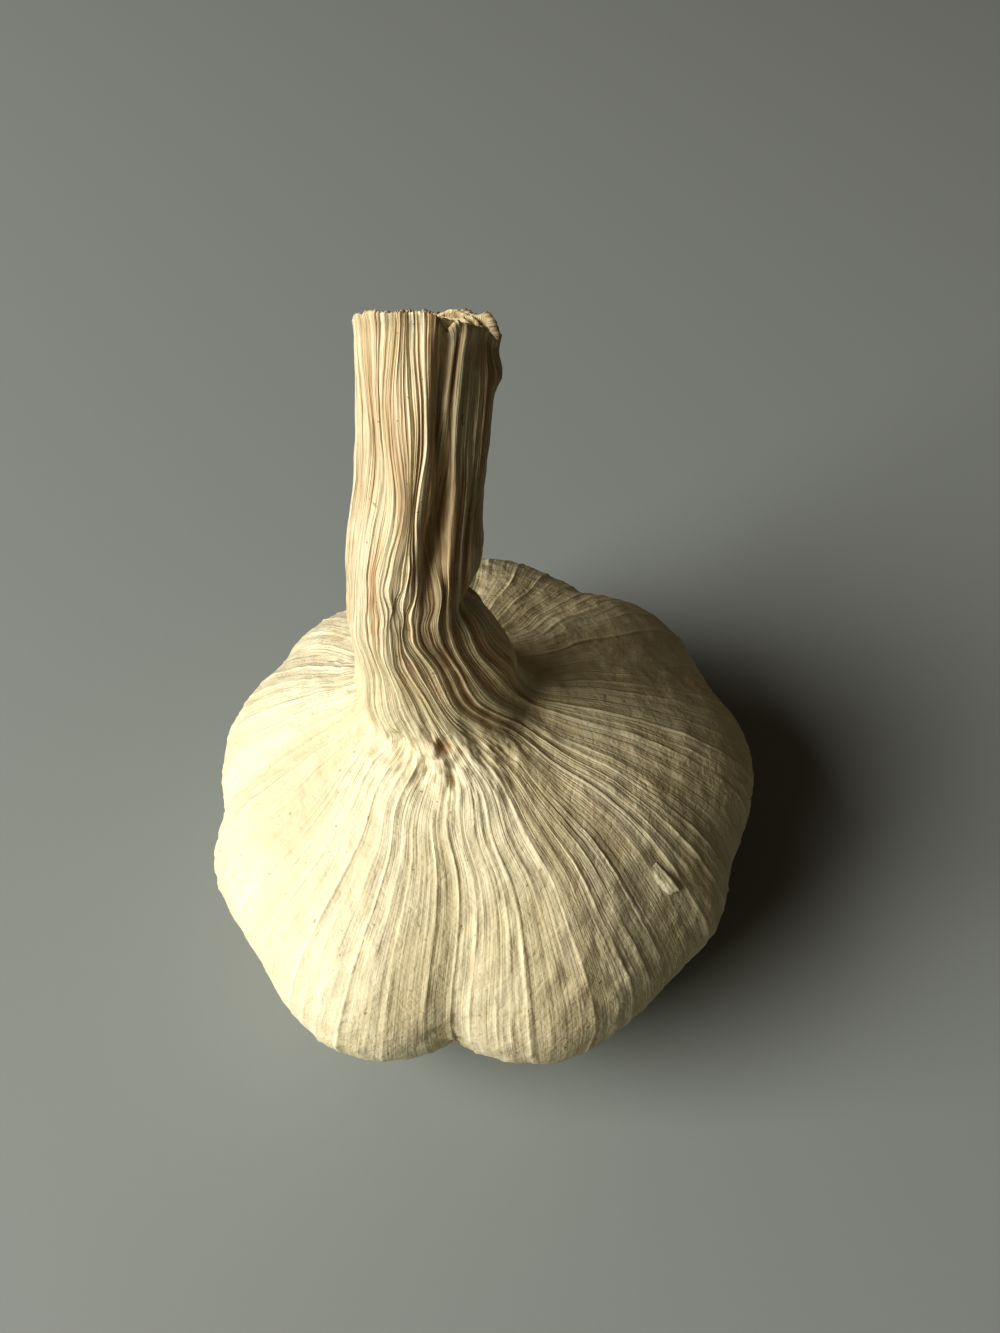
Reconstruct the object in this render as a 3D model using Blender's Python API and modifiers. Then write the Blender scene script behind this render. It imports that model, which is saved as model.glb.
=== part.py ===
"""Garlic bulb with its dried stem, grown in one piece and so made as one solid.

A lobed bulb stands on the flat face of its root plate. Its shoulder domes in to the foot of a
neck that leans to one side, and the stem above it leans back and ends in a slanted cut.

Units are metres, +Z is up, and the origin is the middle of the root plate's flat face.
"""

import math

import bpy

# Root plate: the flat disc that the bulb stands on.
PLATE_RADIUS = 0.0085
PLATE_THICKNESS = 0.0010
BASE_RADIUS = 0.0092

# Bulb: mean outline, and the level where it is widest.
BULB_RADIUS = 0.0285
EQUATOR_HEIGHT = 0.0172
BASE_FULLNESS = 2.12
BULB_OVAL = 0.010
BULB_OVAL_ANGLE = 45.0

# Shoulder: it rises upright from the equator and domes in to the foot of the neck.
SHOULDER_FULLNESS = 0.0094
SHOULDER_REACH = 0.0067
NECK_FOOT_RADIUS = 0.0084
NECK_FOOT_HEIGHT = 0.0356
NECK_FOOT_SLOPE = 23.5

# Neck and stem.
NECK_FLARE = 0.0026
NECK_SWEEP = 0.0076
NECK_RADIUS = 0.0056
NECK_HEIGHT = 0.0478
WAIST_HEIGHT = 0.0542
WAIST_RADIUS = 0.0053
STEM_HEIGHT = 0.0730
STEM_RADIUS = 0.0052
STEM_DEPTH_RATIO = 0.80
CUT_SLOPE = 36.0

# Where the middle of the neck and stem passes: height, then sideways and backward shift.
STEM_ROUTE = (
    (0.0290, 0.0, 0.0),
    (0.0410, -0.0047, 0.0),
    (WAIST_HEIGHT, -0.0054, 0.0),
    (0.0633, -0.0041, 0.0035),
    (0.0724, -0.0034, 0.0080),
)

# Where the neck swells out into the bulb, on the right and at the back left: the angle and height
# of the middle, how far it reaches round in degrees and up in metres, and how far it stands out.
NECK_SWELLINGS = (
    (5.0, 0.0425, 46.0, 0.0054, 0.0024),
    (-158.0, 0.0386, 44.0, 0.0036, 0.00135),
)

# The cloves under the skin, anticlockwise from above: the angle of the seam that each begins at,
# how deep that seam lies inside the mean outline, and how far the clove swells outside it.
CLOVES = (
    (-172.0, 0.0010, 0.0005),
    (-143.0, 0.0000, 0.0019),
    (-95.0, 0.0018, 0.0010),
    (-45.0, 0.0006, -0.0003),
    (-20.0, 0.0008, 0.0010),
    (24.0, 0.0008, 0.0011),
    (63.0, 0.0014, 0.0016),
    (122.0, 0.0007, -0.0001),
    (150.0, 0.0010, 0.0003),
)
SEAM_SOFTNESS = 1.3

# Facets.
STEPS_ROUND = 72
STEPS_BASE = 11
STEPS_SHOULDER = 13
STEPS_NECK = 9
STEPS_STEM = 8

SKIN_COLOUR = (0.80, 0.72, 0.52, 1.0)
SKIN_ROUGHNESS = 0.75


def clear_scene():
    """Remove what the file starts with."""
    for obj in list(bpy.data.objects):
        bpy.data.objects.remove(obj, do_unlink=True)


def share_between(value, low, high):
    """How far value is on the way from low to high, kept from 0 to 1."""
    return min(max((value - low) / (high - low), 0.0), 1.0)


def base_side():
    """(radius, height) from the base beside the root plate up to the equator, a superellipse."""
    points = []
    for step in range(STEPS_BASE + 1):
        angle = 0.5 * math.pi * step / STEPS_BASE
        out = math.sin(angle) ** (2 / BASE_FULLNESS)
        rise = 1 - math.cos(angle) ** (2 / BASE_FULLNESS)
        radius = BASE_RADIUS + (BULB_RADIUS - BASE_RADIUS) * out
        height = PLATE_THICKNESS + (EQUATOR_HEIGHT - PLATE_THICKNESS) * rise
        points.append((radius, height))
    return points


def bezier(handles, steps):
    """Points along a cubic Bezier, without its first."""
    points = []
    for step in range(1, steps + 1):
        t = step / steps
        weights = ((1 - t) ** 3, 3 * t * (1 - t) ** 2, 3 * t * t * (1 - t), t**3)
        points.append(tuple(sum(w * h[i] for w, h in zip(weights, handles)) for i in (0, 1)))
    return points


def shoulder_side():
    """(radius, height) from the equator over the dome of the shoulder and up the flared neck."""
    out, rise = math.cos(math.radians(NECK_FOOT_SLOPE)), math.sin(math.radians(NECK_FOOT_SLOPE))
    foot = (NECK_FOOT_RADIUS, NECK_FOOT_HEIGHT)
    dome = (
        (BULB_RADIUS, EQUATOR_HEIGHT),
        (BULB_RADIUS, EQUATOR_HEIGHT + SHOULDER_FULLNESS),
        (foot[0] + SHOULDER_REACH * out, foot[1] - SHOULDER_REACH * rise),
        foot,
    )
    neck = (
        foot,
        (foot[0] - NECK_FLARE * out, foot[1] + NECK_FLARE * rise),
        (NECK_RADIUS, NECK_HEIGHT - NECK_SWEEP),
        (NECK_RADIUS, NECK_HEIGHT),
    )
    return bezier(dome, STEPS_SHOULDER) + bezier(neck, STEPS_NECK)


def stem_side():
    """(radius, height) from above the neck to the cut end."""
    points = []
    for step in range(1, STEPS_STEM + 1):
        height = NECK_HEIGHT + (STEM_HEIGHT - NECK_HEIGHT) * step / STEPS_STEM
        waist = share_between(height, NECK_HEIGHT, WAIST_HEIGHT)
        end = share_between(height, WAIST_HEIGHT, STEM_HEIGHT)
        radius = NECK_RADIUS + (WAIST_RADIUS - NECK_RADIUS) * waist
        points.append((radius + (STEM_RADIUS - WAIST_RADIUS) * end, height))
    return points


def turned_mesh():
    """The round, upright garlic before it is lobed and bent: the whole outline, turned about Z."""
    outline = [(0.0, 0.0), (PLATE_RADIUS, 0.0)]
    outline += base_side() + shoulder_side() + stem_side()
    outline.append((0.0, STEM_HEIGHT))
    outline.reverse()
    profile = bpy.data.meshes.new("profile")
    edges = [(i, i + 1) for i in range(len(outline) - 1)]
    profile.from_pydata([(radius, 0.0, height) for radius, height in outline], edges, [])
    turned = bpy.data.objects.new("turned", profile)
    bpy.context.scene.collection.objects.link(turned)
    screw = turned.modifiers.new("turn", "SCREW")
    screw.axis = "Z"
    screw.angle = 2 * math.pi
    screw.steps = screw.render_steps = STEPS_ROUND
    screw.use_merge_vertices = True
    screw.merge_threshold = 0.00001
    graph = bpy.context.evaluated_depsgraph_get()
    mesh = bpy.data.meshes.new_from_object(turned.evaluated_get(graph))
    bpy.data.objects.remove(turned, do_unlink=True)
    bpy.data.meshes.remove(profile)
    return mesh


def clove_swell(degrees):
    """How far the outline at this angle lies outside the mean one, at the equator."""
    starts = CLOVES + ((CLOVES[0][0] + 360, CLOVES[0][1], 0.0),)
    degrees = (degrees - CLOVES[0][0]) % 360 + CLOVES[0][0]
    for (start, depth, crest), (end, next_depth, _) in zip(starts, starts[1:]):
        if start <= degrees <= end:
            t = (degrees - start) / (end - start)
            seam = depth + (next_depth - depth) * t
            return (crest + seam) * math.sin(math.pi * t) ** SEAM_SOFTNESS - seam
    return 0.0


def neck_swell(degrees, height):
    """How far the neck stands out at this angle and height."""
    total = 0.0
    for middle, level, width, tall, depth in NECK_SWELLINGS:
        turn = (degrees - middle + 180) % 360 - 180
        total += depth * math.exp(-((turn / width) ** 2) - ((height - level) / tall) ** 2)
    return total


def stem_shift(height):
    """Sideways and backward shift of the middle at this height, a smooth curve through the route."""
    if height <= STEM_ROUTE[0][0]:
        return 0.0, 0.0
    last = len(STEM_ROUTE) - 1
    index = next((i for i in range(last) if height <= STEM_ROUTE[i + 1][0]), last - 1)
    low, high = STEM_ROUTE[index], STEM_ROUTE[index + 1]
    span = high[0] - low[0]
    t = min((height - low[0]) / span, 1.0)

    def slope(i, axis):
        before, after = STEM_ROUTE[max(i - 1, 0)], STEM_ROUTE[min(i + 1, last)]
        return 0.0 if i == 0 else (after[axis] - before[axis]) / (after[0] - before[0])

    def along(axis):
        return (
            (1 + 2 * t) * (1 - t) ** 2 * low[axis]
            + t * (1 - t) ** 2 * span * slope(index, axis)
            + t * t * (3 - 2 * t) * high[axis]
            + t * t * (t - 1) * span * slope(index + 1, axis)
        )

    return along(1), along(2)


def grow(co):
    """Move one point of the turned shape to where it lies on the lobed, leaning garlic."""
    radius, angle, height = math.hypot(co.x, co.y), math.atan2(co.y, co.x), co.z
    bulb_share = share_between(radius, NECK_RADIUS, BULB_RADIUS)
    if height > NECK_HEIGHT or height < PLATE_THICKNESS / 2:
        bulb_share = 0.0
    oval = BULB_OVAL * BULB_RADIUS * math.cos(2 * (angle - math.radians(BULB_OVAL_ANGLE)))
    radius += bulb_share * (clove_swell(math.degrees(angle)) + oval)
    if radius > 0:
        radius += neck_swell(math.degrees(angle), height)
    neck_share = share_between(height, STEM_ROUTE[0][0], NECK_HEIGHT)
    flatness = 1 - (1 - STEM_DEPTH_RATIO) * neck_share
    shift_x, shift_y = stem_shift(height)
    y = radius * flatness * math.sin(angle)
    cut_share = share_between(height, WAIST_HEIGHT, STEM_HEIGHT) ** 2
    co.x = shift_x + radius * math.cos(angle)
    co.y = shift_y + y
    co.z = height - cut_share * math.tan(math.radians(CUT_SLOPE)) * y


def skin_material():
    """Dry, papery, cream-coloured skin."""
    material = bpy.data.materials.new("dry_skin")
    material.use_nodes = True
    shader = material.node_tree.nodes["Principled BSDF"]
    shader.inputs["Base Color"].default_value = SKIN_COLOUR
    shader.inputs["Roughness"].default_value = SKIN_ROUGHNESS
    shader.inputs["Metallic"].default_value = 0.0
    return material


def garlic_bulb(collection):
    """The whole garlic: bulb, neck, stem and root plate in one body."""
    mesh = turned_mesh()
    for vertex in mesh.vertices:
        grow(vertex.co)
    mesh.name = "garlic_bulb"
    mesh.shade_smooth()
    mesh.set_sharp_from_angle(angle=math.radians(40))
    mesh.materials.append(skin_material())
    collection.objects.link(bpy.data.objects.new("garlic_bulb", mesh))


def main():
    clear_scene()
    collection = bpy.data.collections.new("garlic")
    bpy.context.scene.collection.children.link(collection)
    garlic_bulb(collection)


main()
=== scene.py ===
"""A whole garlic bulb: papery veined skin, a leaning ridged neck, a cut stem and a root plate.

Everything is in metres, +Z up, and stands on z = 0 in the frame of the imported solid.
Angles are in degrees about Z: 0 is the right side, -90 the front and 90 the back.
"""

import math

import bmesh
import bpy
import numpy as np
from bpy.props import FloatProperty, FloatVectorProperty, IntProperty, PointerProperty
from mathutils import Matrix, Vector


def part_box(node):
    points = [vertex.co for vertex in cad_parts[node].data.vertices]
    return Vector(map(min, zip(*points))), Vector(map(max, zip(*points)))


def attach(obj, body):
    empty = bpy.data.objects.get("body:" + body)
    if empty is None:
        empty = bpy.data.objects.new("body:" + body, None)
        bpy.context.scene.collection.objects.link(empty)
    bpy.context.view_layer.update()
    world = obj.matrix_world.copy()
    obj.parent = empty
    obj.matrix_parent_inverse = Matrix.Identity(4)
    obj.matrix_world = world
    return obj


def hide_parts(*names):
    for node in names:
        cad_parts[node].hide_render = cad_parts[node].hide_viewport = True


bl_info = {
    "name": "Garlic Bulb",
    "version": (1, 0, 0),
    "blender": (4, 5, 0),
    "location": "View3D > Sidebar > Garlic",
    "description": "Builds a dry garlic bulb with its neck, cut stem and root plate",
    "category": "Add Mesh",
}

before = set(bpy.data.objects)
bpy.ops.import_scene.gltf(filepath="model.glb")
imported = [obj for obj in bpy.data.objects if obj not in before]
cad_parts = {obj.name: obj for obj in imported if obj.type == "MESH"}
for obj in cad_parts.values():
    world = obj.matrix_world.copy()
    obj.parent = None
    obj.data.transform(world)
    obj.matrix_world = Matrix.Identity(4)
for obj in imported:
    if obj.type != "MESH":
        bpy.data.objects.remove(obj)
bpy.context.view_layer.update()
NODE = "garlic_bulb"
BODY = "root"
NODE_LOW, NODE_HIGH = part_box(NODE)
HALF_WIDTH = (NODE_HIGH.x - NODE_LOW.x) / 2
MM = 0.001

# How far the back edge of the slanted cut stands above its middle, in mm.
CUT_RISE = 3

# The cloves under the skin, anticlockwise from above: the angle of the seam that each begins at,
# how deep that seam lies inside the mean outline, and how far the clove swells outside it, in mm.
CLOVES = (
    (-172, 1, 0.5),
    (-143, 0, 1.9),
    (-95, 1.8, 1),
    (-45, 0.6, -0.3),
    (-20, 0.8, 1),
    (24, 0.8, 1.1),
    (63, 1.4, 1.6),
    (122, 0.7, -0.1),
    (150, 1, 0.3),
)

# How broad the seams are, the power of the base's superellipse, and how oval the bulb is.
SEAM_SOFTNESS = 1.3
BASE_FULLNESS = 2.12
BULB_OVAL = 0.01

# Where the middle of the neck and stem passes: height, sideways and backward shift, in mm.
STEM_ROUTE = (
    (29, 0, 0),
    (41, -4.7, 0),
    (54.2, -5.4, 0),
    (63.3, -4.1, 3.5),
    (72.4, -3.4, 8),
)

# Dents (-) and swellings (+) of the neck and stem: angle, height, how far they reach round in
# degrees and up in mm, and their depth in mm.
NECK_FORMS = (
    (-70, 58.8, 13, 3.2, -1.8),
    (-88, 61, 9, 9, 0.35),
    (-40, 64, 28, 9, -0.5),
    (-108, 56, 22, 3.4, 0.4),
    (-60, 52.5, 20, 3, 0.45),
    (-4, 51.6, 34, 1.7, -1.25),
    (-2, 56, 26, 2.6, 0.55),
    (5, 42.5, 46, 5.4, 2.4),
    (-6, 69.6, 13, 1.1, 0.6),
    (-158, 38.6, 44, 3.6, 1.35),
    (-165, 47, 26, 6, 0.3),
    (-124, 36.6, 8, 1.2, -0.9),
    (-108, 34.6, 7, 1.1, -0.7),
    (-98, 37, 8, 1.2, 0.6),
    (-78, 35.8, 9, 1.2, 0.55),
    (-66, 37.4, 7, 1.2, -0.6),
    (-28, 34.6, 26, 1.6, -1.5),
    (150, 60, 30, 8, -0.35),
    (80, 56, 22, 9, -0.5),
)

# They fade in between these heights.
NECK_FORMS_FADE = (30 * MM, 34 * MM)

# Other places laid out in the same way: the sharp notch at the front, the fuller skin over its
# seam, and the zigzag of the veins at the waist, which has no depth.
FRONT_NOTCH = (-96, 13, 4.5, 7, -0.9)
SEAM_FILL = (-95, 28.5, 13, 6, 0.9)
WAIST_ZIGZAG = (-75, 54, 60, 4.5)

# The veins are gathered inside the first radius and free outside the second.
GATHER_RADII = (7 * MM, 19 * MM)

# Middle and reach in degrees of the places where the neck twists, the ridges run further out,
# the foot of the neck crumples, and the cut edge of the sheath crumbles.
TWIST_PLACE = (-38, 50)
RIDGE_PLACE = (-40, 36)
CRUMPLE_PLACE = (-88, 52)
CRUMBLY_PLACE = (45, 46)

# Heights where the twist starts and ends, middle and reach up of the crumpled band, its outer
# radius, and in mm how far out the ridges run, and how much further in their place.
TWIST_HEIGHTS = (31 * MM, 55 * MM)
CRUMPLE_BAND = (35.9 * MM, 3.4 * MM)
CRUMPLE_RADIUS = 13 * MM
RIDGE_REACH, RIDGE_FURTHER = 11, 7

# The deep fold down the front of the stem: its middle, reach and sway in degrees, and its depth.
FOLD_MIDDLE, FOLD_REACH, FOLD_SWAY = -70, 6, 5
FOLD_DEPTH = 1.3 * MM

# Where the sheath's edge is torn down at the cut: angle, reach round in degrees and depth in mm.
TORN_PLACES = ((-4, 24, 2.5), (-46, 18, 1.1), (-70, 6, 1.5), (180, 22, 0.6))

# The rolled sheaths in the cut end: share of the stem's radius, thickness, and how far the edge
# stands above the cut, in mm; then how deep they reach. The last is the solid core.
SHEATH_LAYERS = ((0.84, 0.42, -0.35), (0.69, 0.42, -0.3), (0.52, 0.44, -0.55), (0.35, 0, -0.7))
SHEATH_DEPTH = 3.6

# The torn scrap: its middle and half its width in degrees, the radii that it lies between, and
# its thickness.
FLAP_MIDDLE, FLAP_HALF_WIDTH = -43, 4
FLAP_RADII = (22 * MM, 25 * MM)
FLAP_THICKNESS = 0.12 * MM

# Rings of the skin's mesh along each stretch of its outline, and columns between two veins.
ROWS_BASE = 34
ROWS_DOME = 56
ROWS_NECK = 28
ROWS_STEM = 40
COLUMNS_PER_GAP = 8

# Floor and camera, in metres; the sensor's width is in mm.
FLOOR_HALF_WIDTH = 1.5
CLIP_RANGE = (0.005, 10)
SENSOR_WIDTH = 36

# Points round the smaller pieces.
SHEATH_COLUMNS = 180
PLATE_COLUMNS = 96
FLAP_ROWS, FLAP_COLUMNS = 18, 24


# ---- Sizes and colours a user would change ----


def number(name, default, description, **kind):
    return FloatProperty(name=name, description=description, default=default, **kind)


def length(name, millimetres, description):
    return number(name, millimetres * MM, description, unit="LENGTH")


def angle(name, degrees, description):
    return number(name, math.radians(degrees), description, subtype="ANGLE")


def share(name, default, description):
    return number(name, default, description, subtype="FACTOR")


def colour(name, red, green, blue, description):
    return FloatVectorProperty(
        name=name, description=description, default=(red, green, blue), size=3, subtype="COLOR"
    )


class GarlicForm(bpy.types.PropertyGroup):
    """The garlic's large shape."""

    bulb_radius: length("Bulb radius", 0.984 * HALF_WIDTH / MM, "Mean radius at the widest level")
    equator: length("Widest level", 17.2, "Height at which the bulb is widest")
    base_radius: length("Base radius", 9.2, "Radius where the skin meets the root plate")
    base_height: length("Base height", 1, "Height of the skin's lower edge")
    shoulder: length("Shoulder fullness", 9.4, "How far the side stays upright above that level")
    reach: length("Shoulder reach", 6.7, "How far the dome runs straight to the neck")
    foot_radius: length("Neck foot radius", 8.4, "Radius where the neck rises from the dome")
    foot_height: length("Neck foot height", 35.6, "Height where the neck rises from the dome")
    foot_slope: angle("Neck foot slope", 23.5, "Slope of the dome at the foot of the neck")
    neck_flare: length("Neck flare", 2.6, "How softly the dome turns up into the neck")
    neck_sweep: length("Neck sweep", 7.6, "How far down the neck stays narrow")
    neck_radius: length("Neck radius", 5.6, "Radius at the top of the neck")
    neck_height: length("Neck height", 47.8, "Height at the top of the neck")
    waist_height: length("Waist height", 54.2, "Height where the stem bends back")
    stem_radius: length("Stem radius", 5.25, "Half the width of the stem")
    stem_height: length("Stem height", NODE_HIGH.z / MM - CUT_RISE, "Height of the cut's middle")
    stem_depth: share("Stem depth", 0.8, "Depth of the stem over its width")
    cut_slope: angle("Cut slope", 36, "How far the cut end tips back")
    twist: angle("Neck twist", 38, "How far the skin turns in front")
    rim: length("Sheath thickness", 0.55, "Thickness of the outer sheath")
    root_spacing: length("Root spacing", 0.9, "Least distance between two trimmed roots")
    root_radius: length("Root radius", 0.29, "Radius of a trimmed root")
    root_length: length("Root length", 0.92, "Length of a trimmed root, part of it in the plate")


class GarlicRelief(bpy.types.PropertyGroup):
    """The skin's veins, ridges and puckers."""

    seed: IntProperty(name="Seed", description="Seed of everything random", default=11)
    veins: IntProperty(name="Main veins", description="Veins that run on up the stem", default=37)
    vein_width: length("Vein width", 0.3, "From a vein's crest to its foot")
    vein_height: length("Vein height", 0.12, "How far a vein stands above the skin")
    groove_depth: length("Groove depth", 0.14, "Depth of the stem's grooves")
    ridge_depth: length("Ridge depth", 0.29, "Depth of the folds along the neck and stem")
    ridge_size: length("Ridge size", 3.6, "Spread of a fold, as if it were on the bulb")
    pleat_depth: length("Pleat depth", 0.2, "Depth of the soft pleats between veins")
    pleat_size: length("Pleat size", 2.4, "Distance between two pleats")
    pucker_depth: length("Pucker depth", 0.32, "Depth of the small puckers")
    pucker_size: length("Pucker size", 2.1, "Distance between two puckers")
    crumple_depth: length("Crumple depth", 0.75, "Depth of the crumples")
    crumple_size: length("Crumple size", 2.3, "Distance between two crumples")


class GarlicColours(bpy.types.PropertyGroup):
    """The colours of the skin, stem and roots."""

    cream: colour("Cream", 0.73, 0.66, 0.47, "Skin of the bulb")
    pale: colour("Pale", 0.8, 0.75, 0.58, "Lighter patches of the skin")
    vein: colour("Vein", 0.9, 0.84, 0.62, "The veins")
    straw: colour("Straw", 0.75, 0.64, 0.42, "Neck and stem")
    husk: colour("Husk", 0.88, 0.8, 0.6, "Crests of the stem's ridges")
    rust: colour("Rust", 0.7, 0.45, 0.26, "Warm stains of the neck and stem")
    # Tan is painted into the grooves, the fold and the crumple hollows as shade; near the root and
    # in the cut end it is the skin's own colour.
    tan: colour("Tan", 0.52, 0.33, 0.17, "Grooves and worn places")
    root: colour("Root", 0.3, 0.2, 0.1, "Root plate and root stubs")


class GarlicStage(bpy.types.PropertyGroup):
    """Floor, light and camera."""

    floor: colour("Floor", 0.378, 0.408, 0.402, "The surface under the bulb")
    lens: number("Lens", 29.7, "Focal length", unit="CAMERA")
    distance: length("Camera distance", 101, "From the camera to its aim")
    elevation: angle("Camera elevation", 54.44, "How far the camera looks down")
    aim_x: length("Aim sideways", 1.9, "Sideways place of the camera's aim")
    aim_z: length("Aim height", 40.5, "Height of the camera's aim")
    key: number("Key light", 13.8, "Power of the key light", unit="POWER")
    key_colour: colour("Key light colour", 1, 0.98, 0.94, "Colour of the key light")
    key_turn: angle("Key light turn", 21, "How far the light stands in front of the left side")
    key_rise: angle("Key light rise", 34, "Height of the key light above the floor")
    key_distance: length("Key light distance", 1200, "From the key light to the bulb")
    key_size: length("Key light size", 900, "Width of the key light")
    fill: share("Fill light", 0.07, "Strength of the light from all round")
    fill_colour: colour("Fill light colour", 1, 0.84, 0.62, "Colour of the light from all round")


# ---- Small helpers for numbers ----


def climb(value, low, high):
    """0 up to low, 1 from high on, and a straight climb between them."""
    return np.clip((value - low) / (high - low), 0, 1)


def rise(value, low, high):
    """0 up to low, 1 from high on, and a smooth climb between them."""
    t = climb(value, low, high)
    return t * t * (3 - 2 * t)


def hump(value, middle, width):
    """A soft hump of height 1."""
    return np.exp(-(((value - middle) / width) ** 2))


def turn_from(degrees, middle):
    """The shorter turn from middle to each angle, in degrees."""
    return (degrees - middle + 180) % 360 - 180


def beside(degrees, middle, reach):
    """A soft hump of height 1 round an angle."""
    return hump(turn_from(degrees, middle), 0, reach)


def spot(degrees, height, place):
    """A soft hump of height 1 at a place: its angle, height in mm, and reach round and up."""
    middle, level, width, tall = place
    return beside(degrees, middle, width) * hump(height / MM, level, tall)


def waves(rng, radians, along, turns, spacing, count=7):
    """Smooth random waves: about turns of them fit round, and they repeat about every spacing."""
    total = np.zeros(np.broadcast(radians, along).shape)
    for _ in range(count):
        around = rng.integers(max(1, turns // 2), turns + turns // 2 + 1)
        along_turns = rng.uniform(0.4, 1.3) * rng.choice((-1, 1)) * 2 * math.pi / spacing
        total += np.cos(around * radians + along_turns * along + rng.uniform(0, 2 * math.pi))
    return total / math.sqrt(count)


# ---- Node sums ----


def node_sum(operation, swapped=False):
    """A method of Wire that adds a math node for itself and the other number, if there is one."""

    def method(wire, *other):
        return wire.bench.math(operation, *((*other, wire) if swapped else (wire, *other)))

    return method


class Wire:
    """The output of a node, which can be added, multiplied and so on like a number."""

    def __init__(self, bench, node, output=0):
        self.bench, self.made, self.output = bench, node, output

    @property
    def socket(self):
        return self.made.outputs[self.output]

    def also(self, output):
        """Another output of the same node."""
        return Wire(self.bench, self.made, output)

    def between(self, low, high, first=0, last=1):
        """first up to low, last from high on, and a smooth climb between them."""
        return self.bench.node(
            "ShaderNodeMapRange",
            {"interpolation_type": "SMOOTHSTEP"},
            {"Value": self, "From Min": low, "From Max": high, "To Min": first, "To Max": last},
        )

    __add__ = __radd__ = node_sum("ADD")
    __mul__ = __rmul__ = node_sum("MULTIPLY")
    __sub__, __rsub__ = node_sum("SUBTRACT"), node_sum("SUBTRACT", swapped=True)
    __truediv__, __rtruediv__ = node_sum("DIVIDE"), node_sum("DIVIDE", swapped=True)
    __abs__ = node_sum("ABSOLUTE")


class Bench:
    """Adds nodes to one tree."""

    def __init__(self, tree):
        self.tree = tree
        tree.nodes.clear()

    def node(self, kind, settings=None, sockets=None, output=0):
        """A node of this kind: its settings are set first, then its sockets' values or links."""
        made = self.tree.nodes.new(kind)
        made.location.x = 180 * len(self.tree.nodes)
        for name, value in (settings or {}).items():
            setattr(made, name, value)
        for key, value in (sockets or {}).items():
            if isinstance(value, Wire):
                self.tree.links.new(value.socket, made.inputs[key])
            else:
                made.inputs[key].default_value = value
        return Wire(self, made, output)

    def math(self, operation, *parts):
        return self.node("ShaderNodeMath", {"operation": operation}, dict(enumerate(parts)))

    def vector(self, operation, *parts):
        return self.node("ShaderNodeVectorMath", {"operation": operation}, dict(enumerate(parts)))

    def mix(self, factor, first, second):
        """Two colours mixed: each is a wire, or red, green and blue."""
        first, second = (c if isinstance(c, Wire) else (*c, 1) for c in (first, second))
        sockets = {0: factor, 6: first, 7: second}
        return self.node("ShaderNodeMix", {"data_type": "RGBA"}, sockets, output=2)

    def paint(self, surface, *layers):
        """Colours laid over a surface one after another, each through its mask."""
        for mask, over in layers:
            surface = self.mix(mask, surface, over)
        return surface

    def stretch(self, vector, across, up):
        """A vector scaled in x and y, and by another number in z."""
        return self.vector("MULTIPLY", vector, (across, across, up))

    def noise(self, vector, detail=2, rough=0.5, scale=1):
        """Soft noise from about 0.2 to 0.8."""
        sockets = {"Vector": vector, "Scale": scale, "Detail": detail, "Roughness": rough}
        return self.node("ShaderNodeTexNoise", {}, sockets)


class ShaderBench(Bench):
    """Adds nodes to a material's tree, and reads what its mesh carries."""

    def __init__(self, name):
        self.material = bpy.data.materials.new(name)
        self.material.use_nodes = True
        super().__init__(self.material.node_tree)

    def attribute(self, name, output="Fac"):
        return self.node("ShaderNodeAttribute", {"attribute_name": name}, {}, output)

    def place(self):
        return self.node("ShaderNodeTexCoord", {}, {}, "Object")

    def finish(self, **sockets):
        """Puts the surface together: sockets of the shader, with _ for each space."""
        named = {name.replace("_", " "): value for name, value in sockets.items()}
        surface = self.node("ShaderNodeBsdfPrincipled", {}, named)
        self.node("ShaderNodeOutputMaterial", {}, {"Surface": surface})
        return self.material

    def bump(self, height, distance, strength=1):
        """Fine relief, given its height from 0 to 1 and how deep 1 is in metres."""
        sockets = {"Height": height, "Distance": distance, "Strength": strength}
        return self.node("ShaderNodeBump", {}, sockets)


class GeometryBench(Bench):
    """Adds nodes to a Geometry Nodes tree with named inputs."""

    def __init__(self, name, **inputs):
        tree = bpy.data.node_groups.new(name, "GeometryNodeTree")
        super().__init__(tree)
        self.values = {}
        tree.interface.new_socket("Geometry", in_out="INPUT", socket_type="NodeSocketGeometry")
        for key, value in inputs.items():
            kind = "NodeSocketInt" if isinstance(value, int) else "NodeSocketFloat"
            title = key.replace("_", " ").capitalize()
            made = tree.interface.new_socket(title, in_out="INPUT", socket_type=kind)
            self.values[made.identifier] = value
        tree.interface.new_socket("Geometry", in_out="OUTPUT", socket_type="NodeSocketGeometry")
        self.given = self.node("NodeGroupInput")

    def named(self, name, kind="FLOAT"):
        """A named attribute of the mesh."""
        return self.node("GeometryNodeInputNamedAttribute", {"data_type": kind}, {"Name": name})

    def end(self, geometry, material):
        """Closes the tree: instances made real, and the material set."""
        real = self.node("GeometryNodeRealizeInstances", {}, {"Geometry": geometry})
        sockets = {"Geometry": real, "Material": material}
        dressed = self.node("GeometryNodeSetMaterial", {}, sockets)
        self.node("NodeGroupOutput", {}, {"Geometry": dressed})

    def run_on(self, name, mesh):
        """The tree's result on a mesh, as a plain object of that name."""
        source = bpy.data.objects.new(name + "_source", mesh)
        bpy.context.scene.collection.objects.link(source)
        modifier = source.modifiers.new(name, "NODES")
        modifier.node_group = self.tree
        for identifier, value in self.values.items():
            modifier[identifier] = value
        graph = bpy.context.evaluated_depsgraph_get()
        result = bpy.data.meshes.new_from_object(source.evaluated_get(graph))
        bpy.data.objects.remove(source, do_unlink=True)
        return new_piece(name, result)


# ---- Meshes and pieces ----


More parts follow.
